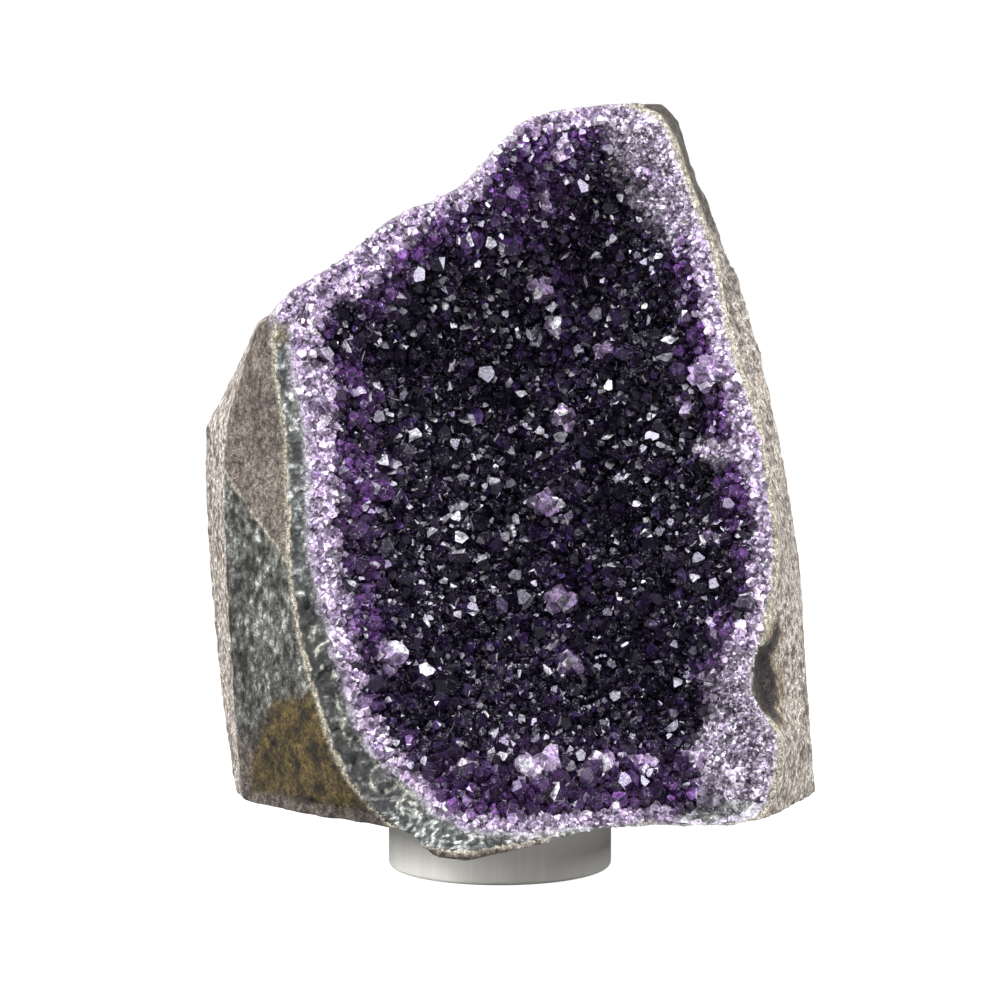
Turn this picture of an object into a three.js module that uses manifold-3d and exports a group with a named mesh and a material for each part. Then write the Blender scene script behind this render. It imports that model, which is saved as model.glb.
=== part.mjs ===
// Amethyst geode with a cut base, resting on a round display stand.
//
// Millimetres, +Z up. The origin is the centre of the stand's foot, on the table,
// and the crystal-lined face looks along -Y. The geode is drawn in a frame of its own,
// with its flat base on z = 0, and is then placed on the stand.
//
// The geode is a set of nested bowls that open to the front: host rock, agate band,
// pale quartz and the amethyst druse. All of them end on one broken face, which leans
// back and runs out to a lip at the bottom, and all of them are cut by one flat base.

import * as THREE from 'three';
import { mergeVertices } from 'three/addons/utils/BufferGeometryUtils.js';
import Module from 'manifold-3d';

// ---------------------------------------------------------------- driving dimensions

const GAP = 0.3; // clearance between pieces that touch

const LIP_START = 19; // in front of this the underside drops to the lip
const LIP_END = 32;
const LIP_DROP = 4;
const CUT_SIZE = 400; // larger than the geode in every direction

const STAND_DIAMETER = 45.7;
const STAND_HEIGHT = 13.9;
const STAND_EDGE = 0.8; // rounded edges of the stand
const STAND_SEGMENTS = 48;
const GEODE_FORWARD = 16; // sits this far forward, so that its weight is well inside the stand

const HEART = new THREE.Vector3(2, -2, 64); // middle of the face; outlines are seen from here
const FACE_LEAN = 0.2; // how far the face leans back for each millimetre of height
const FACE_BEND_EXPONENT = 4; // how closely the bend to the rim keeps to the edge
const RIM_SAMPLES = 76;
const FRONT_LIMIT = -80; // no crystal reaches this far forward
const BURIED_Z = -25; // rock outlines close here, below the base cut

const BOWL_EXPONENT = 2.3; // 2 is a paraboloid; more is a flatter floor with steeper walls
const BOWL_RINGS = [0, 0.34, 0.6, 0.8, 0.92, 1];

// Depth of each bowl behind the face, at the heart.
const ROCK_HOLLOW_DEPTH = 34;
const AGATE_THICKNESS = 4;
const QUARTZ_THICKNESS = 3;
const DRUSE_THICKNESS = 5;
const DRUSE_EDGE = 3; // width of the druse's edge on the face
const ROCK_EDGE = 0.5; // width of the rock's edge on the face

// Outline points are [x, y, z], clockwise as seen from the front, from the upper left.
const RIM = [
  [-45, 4, 100.5], [-32, 6, 110], [-21, 8, 119], [-9, 9, 124], [-2, 10, 131], [5, 11, 138],
  [20, 12, 141], [31, 12, 140.5], [38.5, 10, 125], [43, 8, 112.5], [47, 5, 92.5],
  [51.5, 2, 80.5], [54, 0, 66.5], [55.5, -3, 50.5], [52.5, -6, 35.5], [50.5, -8, 25],
  [56, -8, 15], [53, -9, 1], [47.5, -15, -1], [39, -17, -1.5], [31.5, -16, -1],
  [15.5, -22, -1.5], [0, -30, -2.5], [-8.5, -34, -3], [-20.5, -20, -1], [-31, -14, 9],
  [-36, -9, 20], [-42, -3, 42.5], [-43.5, 1, 72.5],
];

// Crease between the front facets of the rock and its flanks.
const SHOULDER = [
  [-48, 8, 98], [-31, 26, 107], [-20, 28, 117], [-8, 29, 122], [5, 30, 136],
  [28, 30, 141.5], [35.5, 30, 141.5], [39.5, 30, 128], [42, 26, 110], [46, 24, 91.5],
  [51, 22, 79.5], [55.5, 18, 64.5], [59, 15, 48.5], [61.5, 15, 33], [65, 20, 1],
  [66, 22, BURIED_Z], [0, 10, BURIED_Z], [-51, 11, BURIED_Z], [-53, 11, 13],
  [-55, 12, 40.5], [-56, 13, 61.5], [-55.5, 13, 75.5],
];

// Widest line of the rock.
const GIRDLE = [
  [-49.5, 25, 97], [-31, 35, 104.5], [-8, 37, 120], [5, 37, 133], [34, 37, 139],
  [40, 37, 128], [50, 35, 103.5], [57, 33, 78.5], [62, 31, 48.5], [65, 29, 3],
  [64, 27, BURIED_Z], [0, 17, BURIED_Z], [-50, 13, BURIED_Z], [-57.5, 25, 18],
  [-59.5, 27, 38.5], [-61, 29, 63.5], [-61, 29, 74.5], [-55.5, 27, 84.5],
];

// Edge of the rounded back.
const BACK = [
  [-44, 40, 88.5], [-25, 42, 100.5], [0, 45, 114], [25, 45, 122], [42, 43, 98.5], [52, 42, 48.5],
  [52, 40, BURIED_Z], [0, 38, BURIED_Z], [-44, 36, BURIED_Z], [-50, 40, 48.5],
];
const BACK_POLE = new THREE.Vector3(2, 50, 59);
const BACK_ROUNDING = 0.6; // share of the back outline reached halfway to the pole

// Width of a layer on the face, as [direction in degrees, width]; 90 is up, 180 is left.
const AGATE_WIDTH = [
  [0, 1], [125, 1], [141, 4], [150, 5.2], [170, 5.2], [190, 4.6], [205, 6],
  [220, 7.6], [240, 8.2], [252, 8.6], [260, 5], [270, 2], [285, 1], [360, 1],
];
const QUARTZ_WIDTH = [
  [0, 1.4], [60, 1.4], [90, 3], [150, 4], [180, 3.5], [240, 2.8], [262, 2.6], [280, 1.4],
  [310, 1.4], [330, 3], [345, 3], [360, 1.4],
];

// Crystals that stand clear of the druse, as [x, z, width across, length, tilt in degrees].
const PROMINENT = [
  [12, 132, 4.2, 6, 10], [8.5, 124, 3.8, 6, -8], [28.5, 128, 3.4, 5, 14],
  [8.5, 103.5, 4.6, 7, 6], [11.5, 96, 4, 6, -12], [21.5, 91, 3.6, 5.5, 9],
  [42, 87.5, 5, 7, 16], [38.5, 80.5, 4.2, 6, -10], [13, 77.5, 4, 6, 8], [9, 60, 4.4, 6.5, -6],
  [42.5, 54.5, 4, 5.5, 12], [12, 40.5, 4.6, 7, 10], [14, 28.5, 4.2, 6, -9],
  [-23.5, 32, 5.4, 8, 14], [6.5, 10, 6, 9, 5], [-7, 10.5, 4.6, 6.5, -12],
  [20, 10, 4.4, 6, 9], [28.5, 10.5, 4.8, 6.5, -7], [38.5, 11, 4.2, 6, 11],
];
const PROMINENT_ROOT = 1.6; // how far a crystal is set into the druse
const TIP_SHARE = 0.55; // share of a crystal's length taken by its pyramid
const ROOT_TAPER = 0.8; // a crystal's width at its root, as a share of its widest
const CRYSTAL_SIDES = 6;

const SMALL_SPACING = 10; // coarse points that roughen the druse
const SMALL_WIDTH = 5.4;
const SMALL_LENGTH = 4.2;
const SMALL_REACH = 80; // the rows of coarse points run this far each way from the heart
const SMALL_COVER = 0.97; // share of the druse, from the heart out, that they grow on
const SMALL_CLEARANCE = 1; // space left between them and the prominent crystals
const SMALL_LEAN = 0.25;
const SMALL_WIDTH_CHANGE = 0.15;
const SMALL_LENGTH_CHANGE = 0.25;
// Radians from one coarse point to the next, in the waves that vary them.
const WAVES = { leanX: 2.1, leanZ: 3.7, width: 1.7, length: 5.3 };

// ------------------------------------------------------------------------- materials

const stone = (color, roughness) =>
  new THREE.MeshStandardMaterial({ color, roughness, metalness: 0 });

const BASALT = stone(0x7d716a, 0.9);
const AGATE = stone(0x7c8582, 0.5);
const PALE_QUARTZ = stone(0xc9bdd6, 0.45);
const DARK_AMETHYST = stone(0x2e1f4d, 0.2);
const BRIGHT_AMETHYST = stone(0x7a4fa3, 0.2);
const STAND_GREY = stone(0xbfbeb6, 0.45);

// ----------------------------------------------------------------- outlines and faces

const toVectors = (points) => points.map(([x, y, z]) => new THREE.Vector3(x, y, z));
const directionOf = (point) => Math.atan2(point.z - HEART.z, point.x - HEART.x);
const reachOf = (point) => Math.hypot(point.x - HEART.x, point.z - HEART.z);

// Point where a ray that leaves the heart in a direction meets a closed outline.
function outlineAt(outline, direction) {
  const rayX = Math.cos(direction);
  const rayZ = Math.sin(direction);
  for (let i = 0; i < outline.length; i += 1) {
    const start = outline[i];
    const end = outline[(i + 1) % outline.length];
    const startSide = rayX * (start.z - HEART.z) - rayZ * (start.x - HEART.x);
    const endSide = rayX * (end.z - HEART.z) - rayZ * (end.x - HEART.x);
    if (startSide >= 0 && endSide < 0) {
      const point = start.clone().lerp(end, startSide / (startSide - endSide));
      const ahead = rayX * (point.x - HEART.x) + rayZ * (point.z - HEART.z);
      if (ahead > 0) return point;
    }
  }
  throw new Error('the outline does not surround the heart');
}

// Value at a direction, from a list of [degrees, value].
function valueAt(profile, direction) {
  const degrees = (THREE.MathUtils.radToDeg(direction) + 360) % 360;
  const next = profile.findIndex(([limit]) => limit >= degrees);
  if (next <= 0) return profile[0][1];
  const [fromDegrees, fromValue] = profile[next - 1];
  const [toDegrees, toValue] = profile[next];
  const share = (degrees - fromDegrees) / (toDegrees - fromDegrees);
  return THREE.MathUtils.lerp(fromValue, toValue, share);
}

const rimCurve = new THREE.CatmullRomCurve3(toVectors(RIM), true, 'centripetal');
const rim = rimCurve.getSpacedPoints(RIM_SAMPLES).slice(0, RIM_SAMPLES);
const directions = rim.map(directionOf);

// Point of the face: reach 0 is the heart, reach 1 is the rim. The face is a leaning
// plane that bends near the rim to meet it.
function facePoint(direction, reach) {
  const edge = outlineAt(rim, direction);
  const x = THREE.MathUtils.lerp(HEART.x, edge.x, reach);
  const z = THREE.MathUtils.lerp(HEART.z, edge.z, reach);
  const plane = (height) => HEART.y + FACE_LEAN * (height - HEART.z);
  const bend = (edge.y - plane(edge.z)) * reach ** FACE_BEND_EXPONENT;
  return new THREE.Vector3(x, plane(z) + bend, z);
}

// A bowl's wall starts inset from the rim and sinks to its depth at the heart.
const agateWidth = (direction) => valueAt(AGATE_WIDTH, direction);
const quartzWidth = (direction) => valueAt(QUARTZ_WIDTH, direction);
const BOWLS = {
  rockInside: { inset: () => ROCK_EDGE, depth: ROCK_HOLLOW_DEPTH },
  agateInside: {
    inset: (direction) => ROCK_EDGE + agateWidth(direction),
    depth: ROCK_HOLLOW_DEPTH - AGATE_THICKNESS,
  },
  quartzInside: {
    inset: (direction) => ROCK_EDGE + agateWidth(direction) + quartzWidth(direction),
    depth: ROCK_HOLLOW_DEPTH - AGATE_THICKNESS - QUARTZ_THICKNESS,
  },
  druseInside: {
    inset: (direction) =>
      ROCK_EDGE + agateWidth(direction) + quartzWidth(direction) + DRUSE_EDGE,
    depth: ROCK_HOLLOW_DEPTH - AGATE_THICKNESS - QUARTZ_THICKNESS - DRUSE_THICKNESS,
  },
};

function bowlPoint(bowl, clearance, direction, share) {
  const edge = outlineAt(rim, direction);
  const start = 1 - (bowl.inset(direction) + clearance) / reachOf(edge);
  const point = facePoint(direction, start * share);
  point.y += (bowl.depth - clearance) * (1 - share ** BOWL_EXPONENT);
  return point;
}

// Rings of a bowl from its deepest point to its edge.
const bowlRings = (bowl, clearance) =>
  BOWL_RINGS.map((share) =>
    share === 0
      ? [bowlPoint(bowl, clearance, 0, 0)]
      : directions.map((direction) => bowlPoint(bowl, clearance, direction, share)),
  );

// Closed surface through rings of points; the first and last rings are single poles.
// Its diagonals always lead outwards to the next direction, so that nested walls match.
function skin(rings) {
  const positions = rings.flat().flatMap((point) => [point.x, point.y, point.z]);
  const starts = [];
  let count = 0;
  for (const ring of rings) {
    starts.push(count);
    count += ring.length;
  }
  const indices = [];
  for (let row = 0; row + 1 < rings.length; row += 1) {
    const here = rings[row];
    const next = rings[row + 1];
    const narrowing = reachOf(next[0]) < reachOf(here[0]);
    for (let i = 0; i < directions.length; i += 1) {
      const j = (i + 1) % directions.length;
      const a = starts[row] + (i % here.length);
      const b = starts[row] + (j % here.length);
      const c = starts[row + 1] + (i % next.length);
      const d = starts[row + 1] + (j % next.length);
      if (narrowing) {
        indices.push(a, c, b);
        if (c !== d) indices.push(b, c, d);
      } else {
        indices.push(a, c, d);
        if (a !== b) indices.push(a, d, b);
      }
    }
  }
  const geometry = new THREE.BufferGeometry();
  geometry.setAttribute('position', new THREE.Float32BufferAttribute(positions, 3));
  geometry.setIndex(indices);
  return geometry;
}

// -------------------------------------------------------------------- solid booleans

const wasm = await Module();
wasm.setup();

function toSolid(geometry) {
  const bare = geometry.clone();
  bare.deleteAttribute('normal');
  bare.deleteAttribute('uv');
  const welded = mergeVertices(bare);
  return new wasm.Manifold(
    new wasm.Mesh({
      numProp: 3,
      vertProperties: new Float32Array(welded.attributes.position.array),
      triVerts: new Uint32Array(welded.index.array),
    }),
  );
}

function toGeometry(solid) {
  const mesh = solid.getMesh();
  const geometry = new THREE.BufferGeometry();
  geometry.setAttribute('position', new THREE.BufferAttribute(mesh.vertProperties, 3));
  geometry.setIndex(new THREE.BufferAttribute(mesh.triVerts, 1));
  geometry.computeVertexNormals();
  return geometry;
}

// The base is flat over the stand, and drops towards the lip in front of it.
function belowBaseSolid() {
  const profile = new THREE.Shape([
    new THREE.Vector2(CUT_SIZE, 0),
    new THREE.Vector2(-LIP_START, 0),
    new THREE.Vector2(-LIP_END, -LIP_DROP),
    new THREE.Vector2(-CUT_SIZE, -LIP_DROP),
    new THREE.Vector2(-CUT_SIZE, -CUT_SIZE),
    new THREE.Vector2(CUT_SIZE, -CUT_SIZE),
  ]);
  const block = new THREE.ExtrudeGeometry(profile, { depth: CUT_SIZE, bevelEnabled: false });
  const turn = new THREE.Matrix4().makeBasis(
    new THREE.Vector3(0, 1, 0), new THREE.Vector3(0, 0, 1), new THREE.Vector3(1, 0, 0),
  );
  return toSolid(block.applyMatrix4(turn).translate(-CUT_SIZE / 2, 0, 0));
}

const belowBase = belowBaseSolid();

// --------------------------------------------------------------------- rock and layers

function hostRock() {
  const at = (outline) => directions.map((direction) => outlineAt(outline, direction));
  const back = at(toVectors(BACK));
  const cap = back.map((point) => {
    const middle = BACK_POLE.clone().lerp(point, BACK_ROUNDING);
    middle.y = THREE.MathUtils.lerp(point.y, BACK_POLE.y, 1 - BACK_ROUNDING ** 2);
    return middle;
  });
  const outside = [
    [BACK_POLE], cap, back, at(toVectors(GIRDLE)), at(toVectors(SHOULDER)), rim,
  ];
  const inside = bowlRings(BOWLS.rockInside, 0).reverse();
  return toSolid(skin([...outside, ...inside])).subtract(belowBase);
}

function bowlLayer(outer, inner) {
  const rings = [...bowlRings(outer, GAP), ...bowlRings(inner, 0).reverse()];
  return toSolid(skin(rings)).subtract(belowBase);
}

// Everything in front of a bowl's wall, clear of it by the gap.
function spaceInFrontOf(bowl) {
  const wall = bowlRings(bowl, GAP);
  const front = wall.at(-1).map(({ x, z }) => new THREE.Vector3(x, FRONT_LIMIT, z));
  const middle = new THREE.Vector3(HEART.x, FRONT_LIMIT, HEART.z);
  return toSolid(skin([...wall, front, [middle]]));
}

// --------------------------------------------------------------------------- crystals

// How far out a point (x, z) of the face lies: 0 at the heart, 1 at the druse's edge.
function druseShare(x, z) {
  const edge = bowlPoint(BOWLS.druseInside, 0, directionOf({ x, z }), 1);
  return reachOf({ x, z }) / reachOf(edge);
}

// Point of the druse's surface behind a point (x, z) of the face.
const drusePoint = (x, z) =>
  bowlPoint(BOWLS.druseInside, 0, directionOf({ x, z }), Math.min(druseShare(x, z), 1));

function druseNormal(x, z) {
  const step = 1;
  const acrossX = drusePoint(x + step, z).y - drusePoint(x - step, z).y;
  const acrossZ = drusePoint(x, z + step).y - drusePoint(x, z - step).y;
  return new THREE.Vector3(acrossX, -2 * step, acrossZ).normalize();
}

// Six-sided prism with a pyramid tip, standing on its root along an axis.
function crystalPoint(foot, axis, width, length, growth = 0) {
  const radius = width / 2 + growth;
  const prismTop = length * (1 - TIP_SHARE) + growth / 2;
  const profile = [
    new THREE.Vector2(0, -PROMINENT_ROOT - growth),
    new THREE.Vector2(radius * ROOT_TAPER, -PROMINENT_ROOT - growth),
    new THREE.Vector2(radius, prismTop),
    new THREE.Vector2(0, length + growth * 2),
  ];
  const turn = new THREE.Quaternion().setFromUnitVectors(new THREE.Vector3(0, 1, 0), axis);
  return new THREE.LatheGeometry(profile, CRYSTAL_SIDES)
    .applyQuaternion(turn)
    .translate(foot.x, foot.y, foot.z);
}

const prominentCrystals = PROMINENT.map(([x, z, width, length, tilt]) => {
  const foot = drusePoint(x, z);
  const lean = new THREE.Vector3(0, 1, 0);
  const axis = druseNormal(x, z).applyAxisAngle(lean, THREE.MathUtils.degToRad(tilt));
  return { foot, axis, width, length };
});

// Staggered rows of places on the druse, clear of its edge and the prominent crystals.
function smallSpots() {
  const spots = [];
  const rowHeight = SMALL_SPACING * Math.sqrt(0.75);
  for (let row = 0; row * rowHeight < 2 * SMALL_REACH; row += 1) {
    const z = HEART.z - SMALL_REACH + row * rowHeight;
    for (let column = 0; column * SMALL_SPACING < 2 * SMALL_REACH; column += 1) {
      const x = HEART.x - SMALL_REACH + (column + (row % 2) / 2) * SMALL_SPACING;
      if (druseShare(x, z) > SMALL_COVER) continue;
      const spot = drusePoint(x, z);
      const crowded = prominentCrystals.some(
        ({ foot, width }) =>
          foot.distanceTo(spot) < (width + SMALL_WIDTH) / 2 + SMALL_CLEARANCE,
      );
      if (!crowded) spots.push(spot);
    }
  }
  return spots;
}

const druseSpace = spaceInFrontOf(BOWLS.quartzInside);

function prominentCrystal({ foot, axis, width, length }) {
  return toSolid(crystalPoint(foot, axis, width, length)).intersect(druseSpace);
}

function amethystDruse() {
  let druse = bowlLayer(BOWLS.quartzInside, BOWLS.druseInside);
  smallSpots().forEach((spot, i) => {
    const axis = druseNormal(spot.x, spot.z);
    axis.x += SMALL_LEAN * Math.sin(i * WAVES.leanX);
    axis.z += SMALL_LEAN * Math.cos(i * WAVES.leanZ);
    const width = SMALL_WIDTH * (1 + SMALL_WIDTH_CHANGE * Math.sin(i * WAVES.width));
    const length = SMALL_LENGTH * (1 + SMALL_LENGTH_CHANGE * Math.sin(i * WAVES.length));
    druse = druse.add(toSolid(crystalPoint(spot, axis.normalize(), width, length)));
  });
  for (const { foot, axis, width, length } of prominentCrystals) {
    druse = druse.subtract(toSolid(crystalPoint(foot, axis, width, length, GAP)));
  }
  return druse.intersect(druseSpace).subtract(belowBase);
}

// ------------------------------------------------------------------------------ stand

function displayStand() {
  const radius = STAND_DIAMETER / 2;
  const top = STAND_HEIGHT;
  const edge = STAND_EDGE;
  const round = (centreY, from) =>
    [0, 1, 2].map((step) => {
      const angle = from + (step / 2) * (Math.PI / 2);
      return new THREE.Vector2(
        radius - edge + edge * Math.cos(angle),
        centreY + edge * Math.sin(angle),
      );
    });
  const profile = [
    new THREE.Vector2(0, 0),
    ...round(edge, -Math.PI / 2),
    ...round(top - edge, 0),
    new THREE.Vector2(0, top),
  ];
  return new THREE.LatheGeometry(profile, STAND_SEGMENTS).rotateX(Math.PI / 2);
}

// --------------------------------------------------------------------------- assembly

function piece(name, geometry, material) {
  const mesh = new THREE.Mesh(geometry, material);
  mesh.name = name;
  return mesh;
}

const geode = new THREE.Group();
geode.name = 'geode';
geode.position.set(0, -GEODE_FORWARD, STAND_HEIGHT + GAP);

const agateBand = bowlLayer(BOWLS.rockInside, BOWLS.agateInside);
const quartzLayer = bowlLayer(BOWLS.agateInside, BOWLS.quartzInside);
geode.add(piece('host_rock', toGeometry(hostRock()), BASALT));
geode.add(piece('agate_band', toGeometry(agateBand), AGATE));
geode.add(piece('quartz_layer', toGeometry(quartzLayer), PALE_QUARTZ));
geode.add(piece('amethyst_druse', toGeometry(amethystDruse()), DARK_AMETHYST));

prominentCrystals.forEach((crystal, i) => {
  const name = `crystal_${String(i + 1).padStart(2, '0')}`;
  geode.add(piece(name, toGeometry(prominentCrystal(crystal)), BRIGHT_AMETHYST));
});

const geodeOnStand = new THREE.Group();
geodeOnStand.name = 'geode_on_stand';
geodeOnStand.add(geode);
geodeOnStand.add(piece('display_stand', displayStand(), STAND_GREY));

export default geodeOnStand;
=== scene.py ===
"""Looks of the amethyst geode: rock, agate, quartz, thousands of crystals and the stand."""

import math

import bmesh
import bpy
import numpy as np
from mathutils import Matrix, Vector
from mathutils.bvhtree import BVHTree
from mathutils.kdtree import KDTree


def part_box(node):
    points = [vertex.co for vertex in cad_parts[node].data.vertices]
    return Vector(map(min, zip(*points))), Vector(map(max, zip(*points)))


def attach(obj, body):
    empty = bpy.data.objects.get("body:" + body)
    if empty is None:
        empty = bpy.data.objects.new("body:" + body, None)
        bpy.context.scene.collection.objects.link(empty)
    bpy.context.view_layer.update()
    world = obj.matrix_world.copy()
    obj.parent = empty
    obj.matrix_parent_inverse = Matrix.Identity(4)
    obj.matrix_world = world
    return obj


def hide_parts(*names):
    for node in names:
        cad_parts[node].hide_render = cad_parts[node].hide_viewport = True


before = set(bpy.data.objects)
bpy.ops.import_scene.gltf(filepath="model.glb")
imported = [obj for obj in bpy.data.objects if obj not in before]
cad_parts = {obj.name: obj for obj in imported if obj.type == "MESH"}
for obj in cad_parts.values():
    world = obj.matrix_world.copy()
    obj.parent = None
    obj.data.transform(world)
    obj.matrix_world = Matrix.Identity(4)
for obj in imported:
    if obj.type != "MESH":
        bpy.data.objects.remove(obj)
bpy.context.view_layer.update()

MM = 0.001
ROOT = "root"
VOXEL = 0.62 * MM           # grain of the rebuilt stone surface
OVERLAP = 0.2 * MM          # layers grow by this much, to close the gaps between them

rng = np.random.default_rng(20)


# ------------------------------------------------------------------ numbers and noise

def srgb(red, green, blue):
    """Linear colour from 0-255 display values."""
    values = np.array([red, green, blue]) / 255
    return np.where(values <= 0.04045, values / 12.92, ((values + 0.055) / 1.055) ** 2.4)


def smooth(low, high, value):
    """0 below low, 1 above high, with a soft step between them."""
    share = np.clip((value - low) / (high - low), 0, 1)
    return share * share * (3 - 2 * share)


def mix(first, second, share):
    share = np.asarray(share)[..., None]
    return first * (1 - share) + second * share


def lattice(ix, iy, iz, seed):
    """Repeatable pseudo-random value from 0 to 1 for each lattice point."""
    mixed = ix * 374761393 + iy * 668265263 + iz * 2147483647 + seed * 1274126177
    mixed = (mixed ^ (mixed >> 13)) * 1103515245
    return ((mixed ^ (mixed >> 16)) & 0xFFFFFF) / 0xFFFFFF


def noise(points, size, seed=0):
    """Smooth value noise from -1 to 1 whose lumps are about size across."""
    scaled = points / size
    cell = np.floor(scaled).astype(np.int64)
    part = scaled - cell
    part = part * part * (3 - 2 * part)
    total = np.zeros(len(points))
    for corner in range(8):
        step = np.array([corner & 1, corner >> 1 & 1, corner >> 2 & 1])
        weight = np.prod(np.where(step, part, 1 - part), axis=1)
        total += weight * lattice(*(cell + step).T, seed)
    return total * 2 - 1


def layered(points, size, seed=0, octaves=4):
    """Several octaves of noise, each half the size and half the height of the last."""
    total = np.zeros(len(points))
    for octave in range(octaves):
        total += noise(points, size / 2 ** octave, seed + octave) / 2 ** octave
    return total / 2


# ------------------------------------------------------------------------ mesh helpers

def coordinates(mesh):
    flat = np.empty(len(mesh.vertices) * 3)
    mesh.vertices.foreach_get("co", flat)
    return flat.reshape(-1, 3)


def vertex_normals(mesh):
    flat = np.empty(len(mesh.vertices) * 3, np.float32)
    mesh.vertex_normals.foreach_get("vector", flat)
    return flat.reshape(-1, 3).astype(float)


def set_coordinates(mesh, points):
    mesh.vertices.foreach_set("co", points.astype(np.float32).ravel())
    mesh.update()


def paint(mesh, colours, name="tint", domain="POINT"):
    """Stores one colour for each vertex or corner; a fourth channel is its alpha."""
    layer = mesh.attributes.get(name) or mesh.attributes.new(name, "FLOAT_COLOR", domain)
    rgba = np.ones((len(colours), 4), np.float32)
    rgba[:, :colours.shape[1]] = np.clip(colours, 0, 1)
    layer.data.foreach_set("color", rgba.ravel())


def add_object(name, mesh, material):
    piece = bpy.data.objects.new(name, mesh)
    bpy.context.scene.collection.objects.link(piece)
    mesh.materials.clear()
    mesh.materials.append(material)
    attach(piece, ROOT)
    return piece


def tree_of(node):
    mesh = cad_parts[node].data
    return BVHTree.FromPolygons(
        [v.co for v in mesh.vertices], [p.vertices for p in mesh.polygons]
    )


def distances(tree, points):
    return np.array([tree.find_nearest(Vector(p))[3] for p in points])


def sub_mesh(mesh, keep, name):
    """Copy of the faces that keep marks."""
    part = bmesh.new()
    part.from_mesh(mesh)
    part.faces.ensure_lookup_table()
    unwanted = [face for face, wanted in zip(part.faces, keep) if not wanted]
    bmesh.ops.delete(part, geom=unwanted, context="FACES")
    result = bpy.data.meshes.new(name)
    part.to_mesh(result)
    part.free()
    return result


def refine(mesh, cuts, chosen=lambda mesh: mesh.edges[:]):
    """Splits every chosen edge into cuts + 1, keeping the shape."""
    fine = bmesh.new()
    fine.from_mesh(mesh)
    bmesh.ops.subdivide_edges(fine, edges=chosen(fine), cuts=cuts, use_grid_fill=True)
    fine.to_mesh(mesh)
    fine.free()


def shade_smooth(mesh):
    mesh.polygons.foreach_set("use_smooth", [True] * len(mesh.polygons))


# --------------------------------------------------------------------------- materials

GRAIN_LOW, GRAIN_HIGH = 0.36, 0.64      # noise values between which the tint changes
VEIN_GLINT_LOW, VEIN_GLINT_HIGH = 0.57, 0.63        # noise values between which a pale vein begins: partly an inclusion, partly a painted inner reflection


def new_material(name, roughness):
    material = bpy.data.materials.new(name)
    material.use_nodes = True
    nodes = material.node_tree.nodes
    shader = nodes["Principled BSDF"]
    shader.inputs["Roughness"].default_value = roughness
    return material, nodes, material.node_tree.links, shader


def add_node(nodes, kind, **settings):
    node = nodes.new(kind)
    for key, value in settings.items():
        if key in node.inputs:
            node.inputs[key].default_value = value
        else:
            setattr(node, key, value)
    return node


def tinted(nodes, links, shader, scales, low, high, stretch=(1, 1, 1)):
    """Base colour is the painted tint, made lighter and darker by fine noise."""
    tint = add_node(nodes, "ShaderNodeAttribute", attribute_name="tint")
    place = add_node(nodes, "ShaderNodeTexCoord")
    mapping = add_node(nodes, "ShaderNodeMapping", Scale=stretch)
    links.new(place.outputs["Object"], mapping.inputs["Vector"])
    colour = tint.outputs["Color"]
    for scale in scales:
        grain = add_node(nodes, "ShaderNodeTexNoise", Scale=scale, Detail=6, Roughness=0.65)
        links.new(mapping.outputs["Vector"], grain.inputs["Vector"])
        ramp = add_node(nodes, "ShaderNodeMapRange")
        ramp.inputs["From Min"].default_value = GRAIN_LOW
        ramp.inputs["From Max"].default_value = GRAIN_HIGH
        ramp.inputs["To Min"].default_value = low
        ramp.inputs["To Max"].default_value = high
        links.new(grain.outputs["Fac"], ramp.inputs["Value"])
        product = add_node(nodes, "ShaderNodeVectorMath", operation="MULTIPLY")
        links.new(colour, product.inputs[0])
        links.new(ramp.outputs["Result"], product.inputs[1])
        colour = product.outputs["Vector"]
    links.new(colour, shader.inputs["Base Color"])
    return mapping


def bumped(nodes, links, shader, mapping, scale, distance, strength=0.6):
    grain = add_node(nodes, "ShaderNodeTexNoise", Scale=scale, Detail=8, Roughness=0.7)
    links.new(mapping.outputs["Vector"], grain.inputs["Vector"])
    bump = add_node(nodes, "ShaderNodeBump", Strength=strength, Distance=distance)
    links.new(grain.outputs["Fac"], bump.inputs["Height"])
    links.new(bump.outputs["Normal"], shader.inputs["Normal"])


def rock_material():
    material, nodes, links, shader = new_material("basalt", 0.85)
    mapping = tinted(nodes, links, shader, (1100, 3000), 0.3, 1.6)
    bumped(nodes, links, shader, mapping, 2200, 0.0006, 1.0)
    return material


def agate_material():
    material, nodes, links, shader = new_material("agate", 0.42)
    mapping = tinted(nodes, links, shader, (1000, 2800), 0.35, 1.6)
    bumped(nodes, links, shader, mapping, 1100, 0.0006, 0.7)
    return material


def quartz_material():
    material, nodes, links, shader = new_material("pale_quartz", 0.35)
    mapping = tinted(nodes, links, shader, (900, 2200), 0.5, 1.35)
    bumped(nodes, links, shader, mapping, 1300, 0.0005, 0.7)
    return material


QUARTZ_IOR = 1.55
# pale veins of the crystals: partly inclusions, partly painted inner reflections and glints
VEIN_GLINT_COLOUR = srgb(214, 204, 228)


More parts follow.
